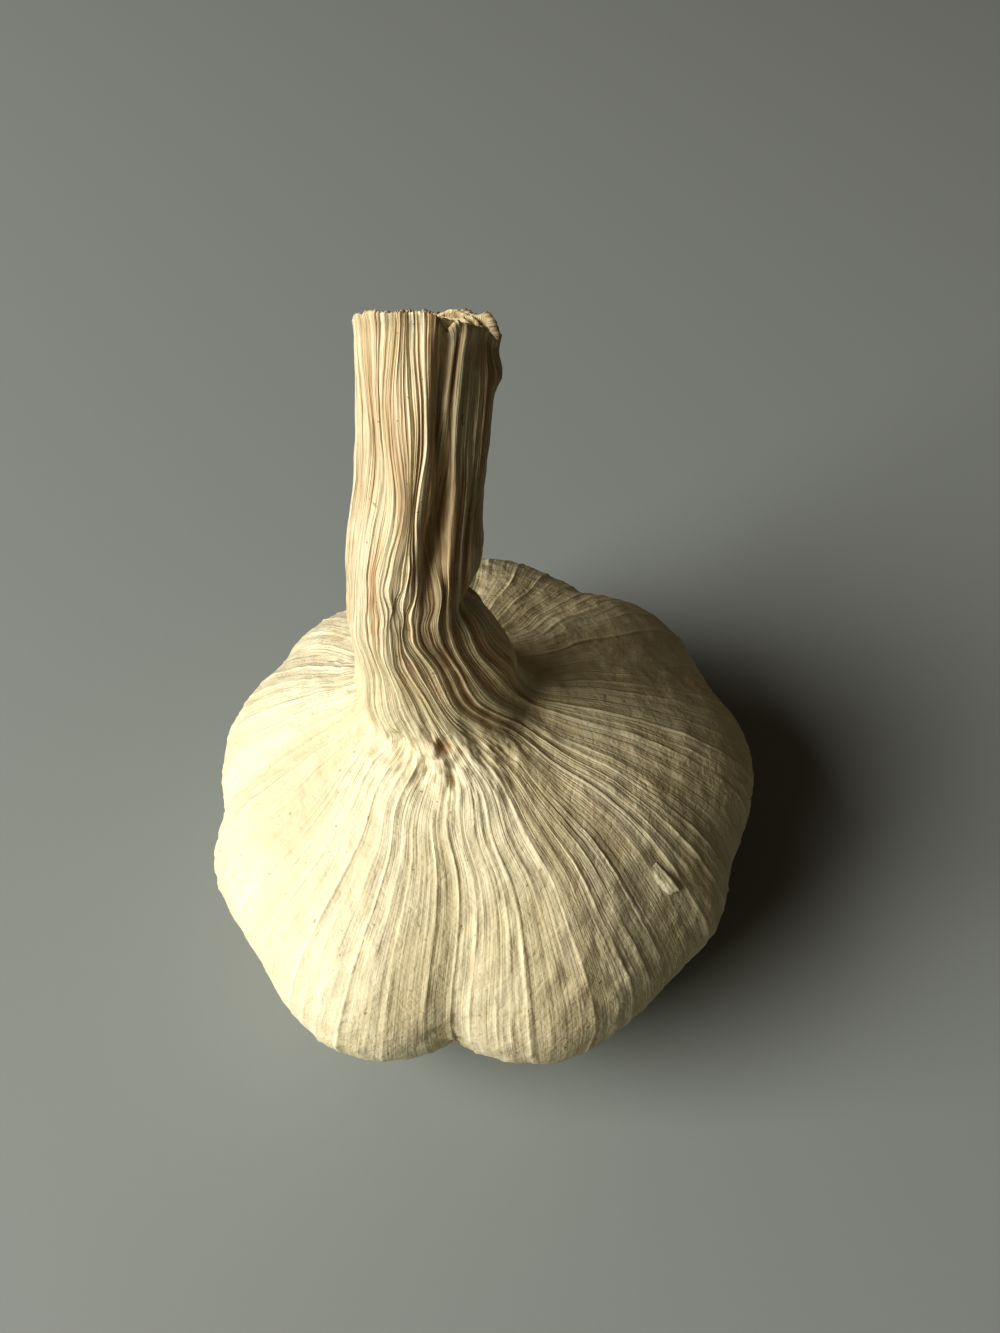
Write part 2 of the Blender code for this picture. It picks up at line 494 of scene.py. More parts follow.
def new_piece(name, mesh, material=None):
    """An object of this name at the origin, smooth, with this mesh."""
    mesh.name = name
    if material:
        mesh.materials.append(material)
    mesh.shade_smooth()
    piece = bpy.data.objects.new(name, mesh)
    bpy.context.scene.collection.objects.link(piece)
    return piece


def place_on_frame(*pieces):
    """The pieces belong to the garlic's only body."""
    for piece in pieces:
        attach(piece, BODY)


def ring_mesh(name, rings, attributes=None):
    """A skin through rings of points (rows x columns x 3), closed by a pole in the middle of the
    first and last ring. An attribute has one value or vector per point."""
    rows, columns = rings.shape[:2]
    points = rings.reshape(-1, 3)
    first = np.arange(rows * columns).reshape(rows, columns)
    after = np.roll(first, -1, axis=1)
    quads = np.stack([first[:-1], after[:-1], after[1:], first[1:]], -1).reshape(-1, 4).tolist()
    low_pole, high_pole = rows * columns, rows * columns + 1
    quads += [[low_pole, b, a] for a, b in zip(first[0].tolist(), after[0].tolist())]
    quads += [[high_pole, a, b] for a, b in zip(first[-1].tolist(), after[-1].tolist())]
    mesh = bpy.data.meshes.new(name)
    mesh.from_pydata(np.vstack([points, rings[0].mean(0), rings[-1].mean(0)]).tolist(), [], quads)
    for key, values in (attributes or {}).items():
        values = np.broadcast_to(values, (rows, columns, *values.shape[2:]))
        kind = "FLOAT_VECTOR" if values.ndim == 3 else "FLOAT"
        flat = values.reshape(rows * columns, -1)
        flat = np.vstack([flat, flat[:1], flat[:1]]).astype(np.float32)
        made = mesh.attributes.new(key, kind, "POINT")
        made.data.foreach_set("vector" if kind == "FLOAT_VECTOR" else "value", flat.ravel())
    return mesh


def bezier(handles, steps):
    """Points along a cubic Bezier, without its first."""
    t = np.linspace(0, 1, steps + 1)[1:, None]
    a, b, c, d = (np.array(handle) for handle in handles)
    return (1 - t) ** 3 * a + 3 * t * (1 - t) ** 2 * b + 3 * t * t * (1 - t) * c + t**3 * d


# ---- The garlic's large shape ----


def outline(form):
    """Radius and height of each ring of the skin, from the root plate up to the cut."""
    fullness = 2 / BASE_FULLNESS
    quarter = np.linspace(0, 0.5 * math.pi, ROWS_BASE)
    out, up = np.sin(quarter) ** fullness, 1 - np.clip(np.cos(quarter), 0, 1) ** fullness
    base_out = form.base_radius + (form.bulb_radius - form.base_radius) * out
    base_up = form.base_height + (form.equator - form.base_height) * up
    foot = Vector((form.foot_radius, form.foot_height))
    slope = Vector((math.cos(form.foot_slope), -math.sin(form.foot_slope)))
    side = (form.bulb_radius, form.equator), (form.bulb_radius, form.equator + form.shoulder)
    dome = bezier((*side, foot + form.reach * slope, foot), ROWS_DOME)
    top = form.neck_radius, form.neck_height
    below_top = form.neck_radius, form.neck_height - form.neck_sweep
    neck = bezier((foot, foot - form.neck_flare * slope, below_top, top), ROWS_NECK)
    height = np.linspace(form.neck_height, form.stem_height, ROWS_STEM + 1)[1:]
    narrowing = rise(height, form.neck_height, form.waist_height)
    radius = form.neck_radius + (form.stem_radius - form.neck_radius) * narrowing
    base, stem = np.stack([base_out, base_up], -1), np.stack([radius, height], -1)
    return np.vstack([base, dome, neck, stem]).T


def clove_swell(degrees):
    """How far the outline at each angle lies outside the mean one, at the widest level."""
    swell = np.zeros_like(degrees)
    starts = (*CLOVES, (CLOVES[0][0] + 360, CLOVES[0][1], 0))
    degrees = (degrees - CLOVES[0][0]) % 360 + CLOVES[0][0]
    for (start, depth, crest), (end, next_depth, _) in zip(starts, starts[1:]):
        t = climb(degrees, start, end)
        seam = depth + (next_depth - depth) * t
        here = (degrees >= start) & (degrees < end)
        bulge = (crest + seam) * np.sin(math.pi * t) ** SEAM_SOFTNESS - seam
        swell = np.where(here, bulge, swell)
    oval = BULB_OVAL * HALF_WIDTH / MM * np.cos(2 * np.radians(degrees - 45))
    return (swell + oval) * MM


def stem_shift(height):
    """Sideways and backward shift of each ring's middle: a smooth curve through the route."""
    route = np.array(STEM_ROUTE) * MM
    knots, places = route[:, 0], route[:, 1:]
    last = len(knots) - 1
    index = np.arange(last + 1)
    before, after = np.maximum(index - 1, 0), np.minimum(index + 1, last)
    slopes = (places[after] - places[before]) / (knots[after] - knots[before])[:, None]
    slopes[0] = 0
    low = np.clip(np.searchsorted(knots, height) - 1, 0, last - 1)
    gap = (knots[low + 1] - knots[low])[:, None]
    t = np.clip((height[:, None] - knots[low][:, None]) / gap, 0, 1)
    start = (1 + 2 * t) * (1 - t) ** 2 * places[low] + t * (1 - t) ** 2 * gap * slopes[low]
    end = t * t * (3 - 2 * t) * places[low + 1] + t * t * (t - 1) * gap * slopes[low + 1]
    return start + end


def skin_columns(relief, rng):
    """The skin's columns of points, which cluster on its veins.

    On the bulb a vein takes the columns at its crest, flanks and feet. Up the stem the columns
    spread evenly, and a main vein is the crest between two grooves. Returned per column: both
    angles in radians, the vein's height and the groove's depth, each as a share."""
    step = 2 * math.pi / relief.veins
    mains = step * (np.arange(relief.veins) + rng.uniform(-0.28, 0.28, relief.veins))
    veins = []
    for main, following in zip(mains, [*mains[1:], mains[0] + 2 * math.pi]):
        groove = rng.uniform(0.35, 1.25)
        veins.append((main, rng.uniform(0.45, 1.25), groove, main, following))
        between = main + (following - main) * rng.uniform(0.38, 0.62)
        veins.append((between, rng.uniform(0, 0.85), groove, main, following))
    side = relief.vein_width / HALF_WIDTH
    tight, even, vein, groove = [], [], [], []
    ends = [*veins[1:], (veins[0][0] + 2 * math.pi, veins[0][1], 0, 0, 0)]
    for (start, height, depth, main, following), (end, next_height, *_) in zip(veins, ends):
        inner = np.linspace(side, end - start - side, COLUMNS_PER_GAP - 3)
        steps = (0, side / 2, *inner, end - start - side / 2)
        heights = (height, 0.5 * height, *(0 * inner), 0.5 * next_height)
        for index, (offset, lift) in enumerate(zip(steps, heights)):
            spread = start + (end - start) * index / COLUMNS_PER_GAP
            tight.append(start + offset)
            even.append(spread)
            vein.append(lift)
            groove.append(depth * math.sin(math.pi * (spread - main) / (following - main)) ** 2)
    return np.array(tight), np.array(even), np.array(vein), np.array(groove)


def skin_rings(form, relief):
    """Every point of the skin's outside, ring by ring, and what the relief and the finish read.

    The shares run from 0 to 1: bulb_share falls from the widest level to the neck, stem_share
    rises from the foot of the neck to the waist, and to_cut rises from the waist to the cut."""
    rng = np.random.default_rng(relief.seed)
    radius, height = outline(form)
    along = np.concatenate([[0], np.cumsum(np.hypot(np.diff(radius), np.diff(height)))])
    above = height > form.equator
    gathered = np.where(above, 1 - rise(radius, *GATHER_RADII), 0)
    stem_share = rise(height, form.foot_height, form.waist_height)
    tight, even, vein, groove = skin_columns(relief, rng)

    radius, height, along, gathered, stem_share, above = (
        row[:, None] for row in (radius, height, along, gathered, stem_share, above)
    )
    column = tight + (even - tight) * gathered
    twisted = np.where(above, rise(height, *TWIST_HEIGHTS), 0)
    wander = 0.01 * (1 - gathered) * waves(rng, column, along, 10, 22 * MM)
    wander += 0.05 * gathered * waves(rng, column, along, 3, 11 * MM)
    zigzag = spot(np.degrees(column), height, WAIST_ZIGZAG)
    wander += 0.022 * (zigzag + 0.2 * stem_share) * waves(rng, column, along, 8, 3.6 * MM)
    twist = form.twist * beside(np.degrees(column), *TWIST_PLACE)
    radians = column + wander - twist * twisted
    degrees = np.degrees(radians)

    bulb_share = climb(radius, form.neck_radius, form.bulb_radius) * (height <= form.neck_height)
    out = radius + bulb_share * clove_swell(degrees)
    out += 0.3 * MM * bulb_share * waves(rng, radians, along, 5, 30 * MM)
    out += 0.16 * MM * stem_share * waves(rng, radians, along, 4, 16 * MM)
    faded = rise(height, *NECK_FORMS_FADE)
    for *place, depth in NECK_FORMS:
        out += depth * MM * spot(degrees, height, place) * faded
    for *place, depth in (FRONT_NOTCH, SEAM_FILL):
        out += depth * MM * spot(degrees, height, place)
    fold = stem_fold(height, degrees)
    out -= FOLD_DEPTH * fold

    lean_start = STEM_ROUTE[0][0] * MM
    flat = 1 - (1 - form.stem_depth) * climb(height, lean_start, form.neck_height)
    shift = stem_shift(height[:, 0])
    across, back = out * np.cos(radians), out * flat * np.sin(radians)
    to_cut = climb(height, form.waist_height, form.stem_height) ** 2
    level = height - to_cut * math.tan(form.cut_slope) * back + to_cut**3 * torn_rim(rng, degrees)
    rings = np.stack([shift[:, :1] + across, shift[:, 1:] + back, level], -1)

    near_foot = hump(height, *CRUMPLE_BAND) * above
    near_foot = near_foot * rise(CRUMPLE_RADIUS - radius, 0, 3 * MM)
    crumpled = near_foot * (0.15 + 0.85 * beside(degrees, *CRUMPLE_PLACE))
    crumpled += 1.2 * spot(degrees, height, FRONT_NOTCH[:4])
    reach = (RIDGE_REACH + RIDGE_FURTHER * beside(degrees, *RIDGE_PLACE)) * MM
    ridged = np.where(above, 1 - rise(radius, 0.4 * reach, reach), 0)
    whole = column.shape
    up_skin = np.broadcast_to(along, whole)
    round_bulb = [HALF_WIDTH * np.cos(column), HALF_WIDTH * np.sin(column), up_skin]
    round_stem = [HALF_WIDTH * np.cos(even - twist), HALF_WIDTH * np.sin(even - twist), up_skin]
    attributes = {
        "skin_way": np.stack(round_bulb, -1),
        "stem_way": np.stack(round_stem, -1),
        "vein": vein * (0.8 + 0.3 * waves(rng, column, along, 11, 12 * MM)),
        "groove": np.broadcast_to(groove, whole),
        "ridged": ridged,
        "crumpled": crumpled,
        "stem": np.broadcast_to(stem_share, whole),
        "fold": fold,
        "along": np.broadcast_to(along / along.max(), whole),
    }
    return rings, attributes


def stem_fold(height, degrees):
    """The one deep fold down the front of the stem, from 0 to 1: deepest in its middle."""
    middle = FOLD_MIDDLE + FOLD_SWAY * np.sin(height / (2.9 * MM))
    depth = rise(height, 55 * MM, 61 * MM) * (1 - 0.55 * rise(height, 65 * MM, 72 * MM))
    return depth * beside(degrees, middle, FOLD_REACH)


def torn_rim(rng, degrees):
    """How far the sheath's edge stands above (+) or below the clean cut."""
    radians = np.radians(degrees)
    crumbly = 0.12 + beside(degrees, *CRUMBLY_PLACE)
    ragged = 0.3 * MM * crumbly * waves(rng, radians, 0, 13, 1, 9)
    ragged += 0.06 * MM * crumbly * waves(rng, radians, 0, 40, 1, 9)
    torn = sum(depth * beside(degrees, *place) for *place, depth in TORN_PLACES)
    return ragged - torn * MM


def closed_rings(form, rings, attributes):
    """The skin's rings with its thickness added: turned in at the cut end, and under the base."""
    inside = 1 - form.rim / form.stem_radius
    edge = 1 - 0.25 * form.rim / form.stem_radius

    def shrunk(ring, steps):
        """The ring drawn in to each share of its size, and raised by some mm."""
        middle = ring.mean(0)
        return [middle + (ring - middle) * size + (0, 0, up * MM) for size, up in steps]

    down_inside = (inside * 0.98, -2), (inside * 0.9, -4)
    lips = shrunk(rings[-1], ((edge, 0.12), (inside, 0.02), *down_inside))
    under = shrunk(rings[0], ((0.8, 0.9), (0.93, 0.7), (0.98, 0.15)))
    count_low, count_high = len(under), len(lips)
    grown = {}
    for key, values in attributes.items():
        low, high = np.repeat(values[:1], count_low, 0), np.repeat(values[-1:], count_high, 0)
        grown[key] = np.concatenate([low, values, high])
    for key in ("vein", "groove", "crumpled", "fold"):
        grown[key][:count_low] = 0
        grown[key][-count_high:] *= np.linspace(0.8, 0, count_high)[:, None]
    grown["ridged"][-count_high - 2 :] *= np.array([0.6, 0.25, *[0] * count_high])[:, None]
    return np.concatenate([np.stack(under), rings, np.stack(lips)]), grown


# ---- Fine relief ----


def skin_relief(relief, material):
    """Raises the veins, sinks the grooves, and puckers and crumples the skin along its normals."""
    sizes = ("vein_height", "groove_depth", "ridge_depth", "ridge_size", "pleat_depth")
    sizes += ("pleat_size", "pucker_depth", "pucker_size", "crumple_depth", "crumple_size", "seed")
    bench = GeometryBench("skin_relief", **{name: getattr(relief, name) for name in sizes})
    size = bench.given.also
    way = bench.vector("ADD", bench.named("skin_way", "FLOAT_VECTOR"), size("Seed"))
    stem_way = bench.vector("ADD", bench.named("stem_way", "FLOAT_VECTOR"), size("Seed"))
    place = bench.node("GeometryNodeInputPosition")
    ridged, crumpled = bench.named("ridged"), bench.named("crumpled")
    smooth = 1 - ridged

    def field(vector, spread, stretch, detail=2):
        """Noise from -1 to 1: its bumps are spread apart, and stretch times as long up the skin."""
        scaled = bench.stretch(vector, 1, 1 / stretch)
        return (bench.noise(scaled, detail, 0.55, 1 / spread) - 0.5) * 2.6

    patchy = field(stem_way, size("Ridge size") * 3, 2, 1).between(-0.55, 0.55, 0.2, 1.3)
    vein = bench.named("vein") * size("Vein height") * (1 - 0.5 * ridged)
    groove = bench.named("groove") * size("Groove depth") * ridged * patchy
    broad = abs(field(stem_way, size("Ridge size"), 14))
    narrow = abs(field(stem_way, size("Ridge size") * 0.42, 18))
    fold = (1 - (broad * 1.1 + narrow * 0.6)) * size("Ridge depth") * ridged * patchy
    swell = field(stem_way, size("Ridge size") * 1.9, 6) * size("Ridge depth") * ridged * 0.9

    pleat = field(way, size("Pleat size"), 3.4) * size("Pleat depth") * smooth * 0.6
    wrinkle = field(way, size("Pleat size") * 0.5, 3.5) * size("Pleat depth") * 0.35
    creases = abs(field(place, size("Pucker size") * 1.7, 1, 2))
    pucker = field(place, size("Pucker size"), 1, 3) * 0.6 + creases * 0.9
    pucker = pucker * size("Pucker depth") * (0.3 + 0.7 * smooth)

    knots = abs(field(place, size("Crumple size"), 1, 3))
    ladder = field(way, size("Crumple size") * 1.6, 0.55)
    crumple = (0.55 - knots * 1.3 + ladder * 0.45) * size("Crumple depth") * crumpled

    height = vein - groove - fold + swell + pleat + wrinkle + pucker + crumple
    normal = bench.node("GeometryNodeInputNormal")
    offset = bench.vector("MULTIPLY", normal, height)
    moved = bench.node("GeometryNodeSetPosition", {}, {"Geometry": bench.given, "Offset": offset})
    # How deep each point lies in the relief; the finish reads it to paint shade into the deeper
    # places.
    deep = (groove + fold - crumple * 0.7 - (pleat + wrinkle + pucker) * 1.6) / size("Ridge depth")
    sockets = {"Geometry": moved, "Name": "deep", "Value": deep}
    kept = bench.node("GeometryNodeStoreNamedAttribute", {"data_type": "FLOAT"}, sockets)
    bench.end(kept, material)
    return bench


def papery_skin(colours):
    """Papery skin: cream on the bulb, straw up the stem and tan at the root, with shade painted in
    straw and tan into the grooves and hollows.

    Noise is scaled per metre; along the skin its last scale is smaller, which draws it out."""
    bench = ShaderBench("papery_skin")
    place = bench.place()
    way, stem_way = (bench.attribute(name, "Vector") for name in ("skin_way", "stem_way"))
    names = ("vein", "stem", "deep", "ridged", "along", "fold", "crumpled")
    vein, stem, deep, ridged, along, fold, crumpled = (bench.attribute(name) for name in names)

    patches = bench.noise(bench.stretch(way, 130, 60), 4, 0.6)
    streaks = bench.noise(bench.stretch(way, 1700, 60), 3, 0.6)
    grain = bench.noise(place, 3, 0.65, 2600)
    bulb = bench.paint(
        colours.cream,
        (patches.between(0.36, 0.66), colours.pale),
        (streaks.between(0.42, 0.72) * 0.3, colours.vein),
        (streaks.between(0.3, 0.45, 0.22, 0), colours.straw),
        # Painted shade: straw laid into the hollows between veins, pleats and puckers, by how deep
        # the relief lies.
        (deep.between(-0.1, 0.8) * 0.45, colours.straw),
        (vein.between(0.25, 0.9) * 0.95, colours.vein),
    )

    fibres = bench.noise(bench.stretch(stem_way, 800, 55), 4, 0.65)
    stains = bench.noise(bench.stretch(stem_way, 130, 55), 4, 0.65)
    stalk = bench.paint(
        colours.straw,
        (fibres.between(0.32, 0.56), colours.husk),
        (stains.between(0.48, 0.64) * 0.5, colours.rust),
    )

    straw_share = (stem * 1.5 + (patches - 0.5) * 0.9).between(0.1, 0.9)
    # Painted shade: tan laid into the deep grooves, along the fold and into the crumple hollows,
    # more where the relief lies deeper.
    shaded = (deep.between(0.55, 1.35) * (0.2 + 0.8 * ridged) + fold * 0.3) * 0.6
    shaded = shaded + (crumpled * patches).between(0.3, 0.62) * deep.between(-0.2, 0.8) * 0.7
    root_end = along.between(0.02, 0.2, 1, 0) * (patches + 0.25)
    specks = bench.noise(place, 1, 0.5, 1700).between(0.74, 0.77)
    surface = bench.paint(
        bulb,
        (straw_share, stalk),
        (shaded, colours.tan),
        (root_end.between(0.15, 0.9) * 0.8, colours.tan),
        (specks * 0.5, colours.root),
        (grain.between(0.3, 0.55, 0.16, 0), colours.straw),
    )

    crinkle = abs(bench.noise(place, 2, 0.55, 800) - 0.5) * 2
    paper = streaks * 0.4 + grain * 0.1 + crinkle * 0.3
    ribs = abs(bench.noise(bench.stretch(stem_way, 300, 24), 3, 0.5) - 0.5)
    fine = paper * (1 - 0.75 * stem) + (fibres * 1.1 - ribs * 3.2) * stem
    return bench.finish(
        Base_Color=surface,
        Roughness=grain.between(0.2, 0.8, 0.52, 0.72),
        Normal=bench.bump(fine, 0.4 * MM, 0.9),
        Subsurface_Weight=0.1,
        Subsurface_Radius=(1, 0.7, 0.35),
        Subsurface_Scale=1.2 * MM,
        Specular_IOR_Level=0.3,
    )


# ---- Cut end, roots and torn skin ----


def cut_layers(form, relief, material):
    """The rolled leaf sheaths inside the cut end, each a thin wavy ring, and the core."""
    rng = np.random.default_rng(relief.seed + 1)
    shift = stem_shift(np.array([form.stem_height]))[0]
    middle = np.array([shift[0], shift[1], form.stem_height])
    turns = np.linspace(0, 2 * math.pi, SHEATH_COLUMNS, endpoint=False)
    worn_down = 1.6 * beside(np.degrees(turns), -8, 34)
    tuft = 0.6 * beside(np.degrees(turns), 62, 20)
    pieces = []
    for layer, (size, thickness, lift) in enumerate(SHEATH_LAYERS):
        wall = form.stem_radius * size * (1 + 0.055 * waves(rng, turns, 0, 4, 1))
        edge = lift + 0.16 * waves(rng, turns, 0, 9, 1)
        edge += 0.04 * waves(rng, turns, 0, 31, 1) - worn_down + tuft * (layer == 0)
        # How far inward from the outer wall, and how high over the edge, in mm.
        profile = [(0, -SHEATH_DEPTH), (0, -0.25), (0.1, -0.02)]
        if thickness:
            profile += [(thickness - 0.1, 0), (thickness, -0.3), (thickness, -SHEATH_DEPTH)]
        else:
            profile += [(0.5, 0.12), (1, -0.05)]
        rings = []
        for inward, up in profile:
            out = wall - inward * MM
            x, y = out * np.cos(turns), out * form.stem_depth * np.sin(turns)
            top = 0 * edge if up == -SHEATH_DEPTH else edge
            z = (up + top) * MM - math.tan(form.cut_slope) * y
            rings.append(middle + np.stack([x, y, z], -1))
        mesh = ring_mesh(f"sheath_layer_{layer + 1}", np.stack(rings))
        pieces.append(new_piece(mesh.name, mesh, material))
    return pieces


def cut_fibre(colours):
    """Dry, woody leaf sheath as it shows where the stem was cut."""
    bench = ShaderBench("cut_fibre")
    place = bench.place()
    fibres = bench.noise(bench.stretch(place, 2600, 350), 3, 0.6)
    stains = bench.noise(place, 3, 0.6, 700).between(0.5, 0.7)
    crumbs = bench.noise(place, 4, 0.65, 1500)
    surface = bench.paint(
        colours.straw,
        (fibres.between(0.35, 0.7), colours.husk),
        (stains * 0.8, colours.tan),
        (crumbs.between(0.5, 0.66) * 0.5, colours.root),
    )
    normal = bench.bump(fibres + crumbs, 0.3 * MM, 0.9)
    return bench.finish(Base_Color=surface, Roughness=0.8, Normal=normal)


def root_crust(colours):
    """Corky brown root plate, and roots that are paler at their trimmed ends."""
    bench = ShaderBench("root_crust")
    place = bench.place()
    crumbs = bench.noise(place, 4, 0.65, 1500)
    patches = bench.noise(place, 3, 0.6, 350)
    level = bench.node("ShaderNodeSeparateXYZ", {}, {0: place}, "Z")
    surface = bench.paint(
        colours.root,
        (patches.between(0.35, 0.7), colours.straw),
        (crumbs.between(0.5, 0.75), [0.35 * c for c in colours.root]),
        (level.between(0.2 * MM, 0.8 * MM, 0.75, 0), colours.straw),
    )
    normal = bench.bump(crumbs, 0.4 * MM, 0.8)
    return bench.finish(Base_Color=surface, Roughness=0.9, Normal=normal)


def root_plate(relief, material):
    """The corky disc under the bulb, lumpy and a little lower towards its rim."""
    rng = np.random.default_rng(relief.seed + 2)
    turns = np.linspace(0, 2 * math.pi, PLATE_COLUMNS, endpoint=False)
    # Radius, height and height of the lumps of each ring, in mm: the side, then the underside.
    rings = [(8.7, 2.4, 0.05), (9, 1.7, 0.05), (8.8, 1.2, 0.05)]
    rings += [(8.6 * out, 0.98 - 0.15 * out, 0.1) for out in np.linspace(0.96, 0.04, 22)]
    points = []
    for radius, level, lumps in rings:
        edge = radius * (1 + 0.02 * waves(rng, turns, 0, 7, 1))
        level = level + lumps * waves(rng, turns, 0, 12, 1)
        points.append(np.stack([edge * np.cos(turns), edge * np.sin(turns), level], -1) * MM)
    mesh = ring_mesh("root_plate", np.stack(points)[::-1])
    return new_piece("root_plate", mesh, material)


def root_stubs(form, relief, material):
    """Trimmed roots: short blunt tapers all over the root plate, which end above z = 0."""
    sizes = {"radius": form.root_radius, "length": form.root_length, "seed": relief.seed}
    bench = GeometryBench("root_stubs", spacing=form.root_spacing, **sizes)
    size = bench.given.also
    settings = {"distribute_method": "POISSON"}
    sockets = {"Mesh": bench.given, "Distance Min": size("Spacing"), "Density Max": 3e6}
    sockets["Seed"] = size("Seed")
    scatter = bench.node("GeometryNodeDistributePointsOnFaces", settings, sockets)
    sockets = {"Vertices": 7, "Side Segments": 3, "Fill Segments": 1, "Depth": size("Length")}
    sockets |= {"Radius Top": size("Radius") * 0.75, "Radius Bottom": size("Radius")}
    stub = bench.node("GeometryNodeMeshCone", {}, sockets)
    # Each stub points down, give or take 0.3 radians.
    sockets = {"Min": (2.84, -0.3, 0), "Max": (3.44, 0.3, 6.28), "Seed": size("Seed")}
    tilt = bench.node("FunctionNodeRandomValue", {"data_type": "FLOAT_VECTOR"}, sockets)
    sockets = {2: 0.6, 3: 1.15, "Seed": size("Seed")}
    scale = bench.node("FunctionNodeRandomValue", {"data_type": "FLOAT"}, sockets, output=1)
    sockets = {"Points": scatter, "Instance": stub, "Rotation": tilt, "Scale": scale}
    stubs = bench.node("GeometryNodeInstanceOnPoints", {}, sockets)
    bench.end(stubs, material)
    disc = bmesh.new()
    bmesh.ops.create_circle(disc, cap_ends=True, radius=form.base_radius * 0.9, segments=48)
    for vertex in disc.verts:
        vertex.co.z = 1.14 * MM
    mesh = bpy.data.meshes.new("root_bed")
    disc.to_mesh(mesh)
    disc.free()
    return bench.run_on("root_stubs", mesh)


def skin_flap(form, relief, material):
    """A torn scrap of the outer skin on the front right of the shoulder, lifted towards its tip.

    It is a patch of the skin's own rings, with the same veins and creases."""
    rings, attributes = skin_rings(form, relief)
    out, level = np.hypot(rings[..., 0], rings[..., 1]).mean(1), rings[..., 2].mean(1)
    low, high = FLAP_RADII
    rows = np.flatnonzero((out > low) & (out < high) & (level > form.equator))
    degrees = np.degrees(np.arctan2(rings[rows[0], :, 1], rings[rows[0], :, 0]))
    columns = np.flatnonzero(abs(turn_from(degrees, FLAP_MIDDLE)) < FLAP_HALF_WIDTH)
    down = np.linspace(rows[-1], rows[0], FLAP_ROWS)[:, None]
    side = np.linspace(columns[0], columns[-1], FLAP_COLUMNS)[None]
    s, t = np.linspace(0, 1, FLAP_ROWS)[:, None], np.linspace(0, 1, FLAP_COLUMNS)[None]
    across = side + (side[:, -1:] - side) * 0.82 * s**1.3
    row = np.minimum(down.astype(int), rows[-1] - 1)
    column = np.minimum(across.astype(int), columns[-1] - 1)

    def patch(values):
        """Values of the skin at each place of the scrap, which narrows towards its tip."""
        more = (1,) * (values.ndim - 2)
        up = (down - row).reshape(-1, 1, *more)
        over = (across - column).reshape(*column.shape, *more)
        near = values[row, column] * (1 - over) + values[row, column + 1] * over
        far = values[row + 1, column] * (1 - over) + values[row + 1, column + 1] * over
        return near * (1 - up) + far * up

    def both_sides(upper, lower):
        """The upper side and the lower side as rings round the scrap, the tip first."""
        return np.concatenate([upper, lower[:, ::-1]], 1)[::-1]

    place = patch(rings)
    lift = (-0.14 + 0.8 * (0.6 * s + 0.4 * t) ** 1.5) * MM
    away = place - np.array([0, 0, 8 * MM])
    away /= np.linalg.norm(away, axis=-1, keepdims=True)
    upper = place + away * lift[..., None]
    loop = both_sides(upper, upper - FLAP_THICKNESS * away)
    carried = {key: patch(values) for key, values in attributes.items()}
    carried = {key: both_sides(values, values) for key, values in carried.items()}
    mesh = ring_mesh("skin_flap", loop, carried)
    return skin_relief(relief, material).run_on("skin_flap", mesh)


# ---- Stage ----


def stage_floor(stage):
    """A plain floor, far wider than the view."""
    material = ShaderBench("floor").finish(Base_Color=(*stage.floor, 1), Roughness=0.6)
    grid = bmesh.new()
    bmesh.ops.create_grid(grid, x_segments=1, y_segments=1, size=FLOOR_HALF_WIDTH)
    mesh = bpy.data.meshes.new("floor")
    grid.to_mesh(mesh)
    grid.free()
    return new_piece("floor", mesh, material)


def stage_camera(scene, stage):
    """The camera, which looks down at the garlic from the front."""
    camera = bpy.data.cameras.new("camera")
    camera.lens = stage.lens
    camera.sensor_width = SENSOR_WIDTH
    camera.clip_start, camera.clip_end = CLIP_RANGE
    holder = bpy.data.objects.new("camera", camera)
    scene.collection.objects.link(holder)
    ahead = Vector((0, math.cos(stage.elevation), -math.sin(stage.elevation)))
    holder.location = Vector((stage.aim_x, 0, stage.aim_z)) - stage.distance * ahead
    holder.rotation_euler = ahead.to_track_quat("-Z", "Y").to_euler()
    return holder


def stage_light(scene, stage):
    """One large soft light from the left."""
    light = bpy.data.lights.new("key", "AREA")
    light.size = stage.key_size
    light.energy = stage.key
    light.color = stage.key_colour
    holder = bpy.data.objects.new("key", light)
    scene.collection.objects.link(holder)
    left, front = math.cos(stage.key_turn), math.sin(stage.key_turn)
    level = math.cos(stage.key_rise)
    away = Vector((-left * level, -front * level, math.sin(stage.key_rise)))
    holder.location = away * stage.key_distance
    holder.rotation_euler = away.to_track_quat("Z", "Y").to_euler()


# ---- Operators ----


UNDO = {"REGISTER", "UNDO"}
DONE = {"FINISHED"}


def choices(scene, make):
    """The form and relief that are set, and this maker's material, which is made only once."""
    material = bpy.data.materials.get(make.__name__) or make(scene.garlic_colours)
    return scene.garlic_form, scene.garlic_relief, material


class GARLIC_OT_skin(bpy.types.Operator):
    """Build the skin of bulb, neck and stem"""

    bl_idname = "garlic.skin"
    bl_label = "Skin"
    bl_options = UNDO

    def execute(self, context):
        form, relief, material = choices(context.scene, papery_skin)
        mesh = ring_mesh("garlic_skin", *closed_rings(form, *skin_rings(form, relief)))
        piece = skin_relief(relief, material).run_on("garlic_skin", mesh)
        place_on_frame(piece)
        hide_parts(NODE)
        return DONE


class GARLIC_OT_cut(bpy.types.Operator):
    """Build the leaf sheaths inside the cut end"""

    bl_idname = "garlic.cut"
    bl_label = "Cut end"
    bl_options = UNDO

    def execute(self, context):
        form, relief, material = choices(context.scene, cut_fibre)
        place_on_frame(*cut_layers(form, relief, material))
        return DONE


class GARLIC_OT_roots(bpy.types.Operator):
    """Build the root plate and the trimmed roots"""

    bl_idname = "garlic.roots"
    bl_label = "Roots"
    bl_options = UNDO

    def execute(self, context):
        form, relief, material = choices(context.scene, root_crust)
        place_on_frame(root_plate(relief, material), root_stubs(form, relief, material))
        return DONE


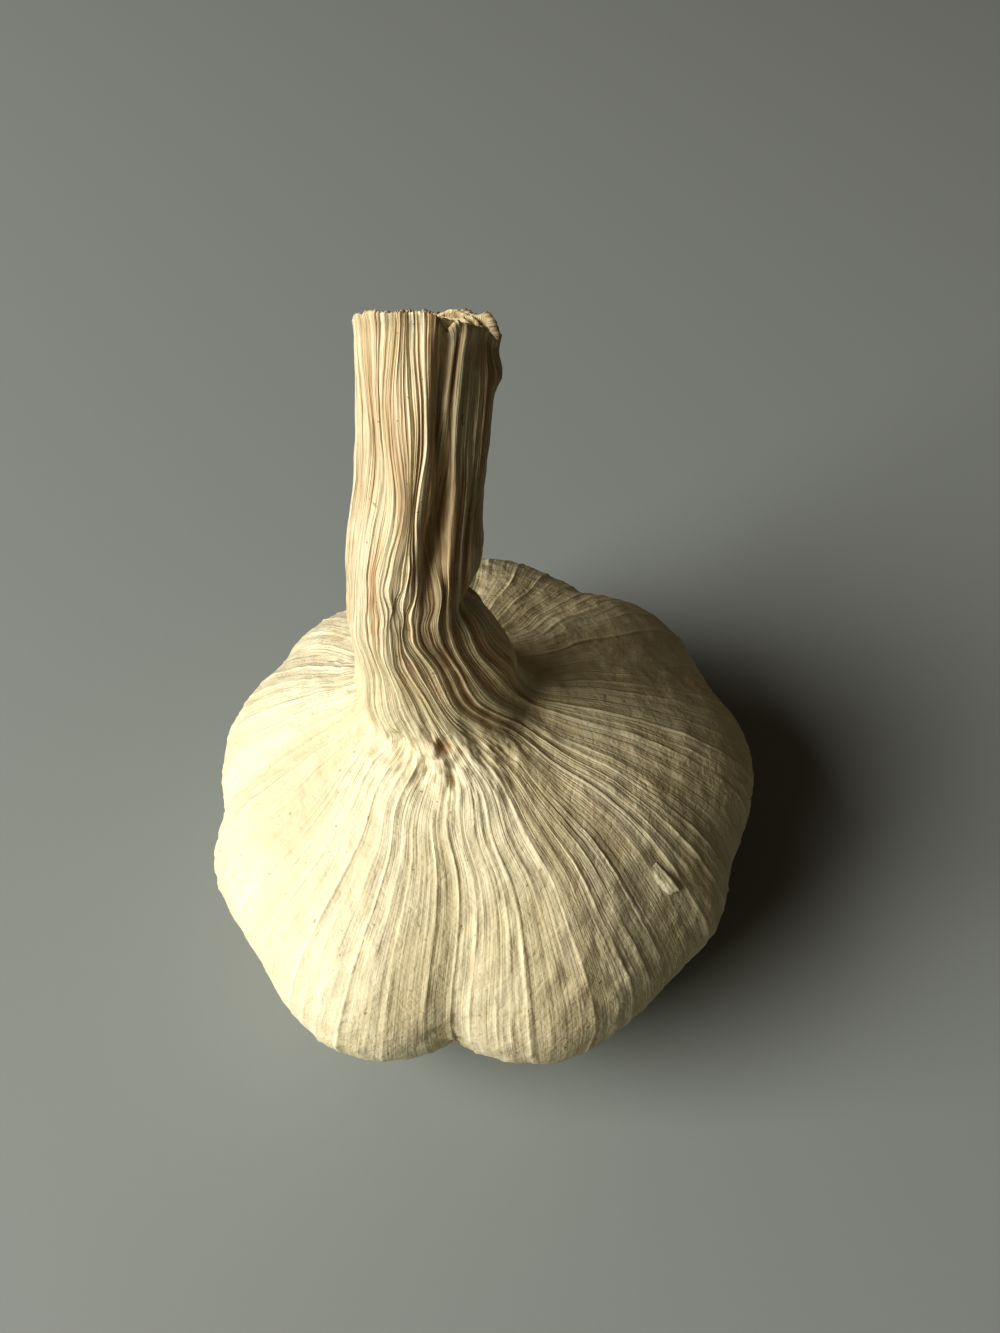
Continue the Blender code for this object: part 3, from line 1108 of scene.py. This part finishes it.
class GARLIC_OT_flap(bpy.types.Operator):
    """Build the torn scrap of skin"""

    bl_idname = "garlic.flap"
    bl_label = "Torn skin"
    bl_options = UNDO

    def execute(self, context):
        form, relief, material = choices(context.scene, papery_skin)
        place_on_frame(skin_flap(form, relief, material))
        return DONE


class GARLIC_OT_stage(bpy.types.Operator):
    """Set up the floor, the light and the camera"""

    bl_idname = "garlic.stage"
    bl_label = "Stage"
    bl_options = UNDO

    def execute(self, context):
        scene, stage = context.scene, context.scene.garlic_stage
        stage_floor(stage)
        scene.camera = stage_camera(scene, stage)
        stage_light(scene, stage)
        world = bpy.data.worlds.new("soft_room")
        world.use_nodes = True
        background = world.node_tree.nodes["Background"]
        background.inputs["Color"].default_value = (*stage.fill_colour, 1)
        background.inputs["Strength"].default_value = stage.fill
        scene.world = world
        scene.view_settings.view_transform = "Standard"
        scene.view_settings.look = "Very High Contrast"
        return DONE


class GARLIC_PT_panel(bpy.types.Panel):
    """Lists the garlic's operators in the sidebar"""

    bl_idname = "GARLIC_PT_panel"
    bl_label = "Garlic Bulb"
    bl_space_type = "VIEW_3D"
    bl_region_type = "UI"
    bl_category = "Garlic"

    def draw(self, context):
        for operator in OPERATORS:
            self.layout.operator(operator.bl_idname)


GROUPS = {
    "garlic_form": GarlicForm,
    "garlic_relief": GarlicRelief,
    "garlic_colours": GarlicColours,
    "garlic_stage": GarlicStage,
}
OPERATORS = (GARLIC_OT_stage, GARLIC_OT_skin, GARLIC_OT_cut, GARLIC_OT_roots, GARLIC_OT_flap)


def register():
    for kind in (*GROUPS.values(), *OPERATORS, GARLIC_PT_panel):
        bpy.utils.register_class(kind)
    for name, group in GROUPS.items():
        setattr(bpy.types.Scene, name, PointerProperty(type=group))


def unregister():
    for name in GROUPS:
        delattr(bpy.types.Scene, name)
    for kind in (GARLIC_PT_panel, *reversed(OPERATORS), *GROUPS.values()):
        bpy.utils.unregister_class(kind)


def main():
    register()
    bpy.ops.garlic.stage()
    bpy.ops.garlic.skin()
    bpy.ops.garlic.cut()
    bpy.ops.garlic.roots()
    bpy.ops.garlic.flap()
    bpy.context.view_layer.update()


if __name__ == "__main__":
    main()
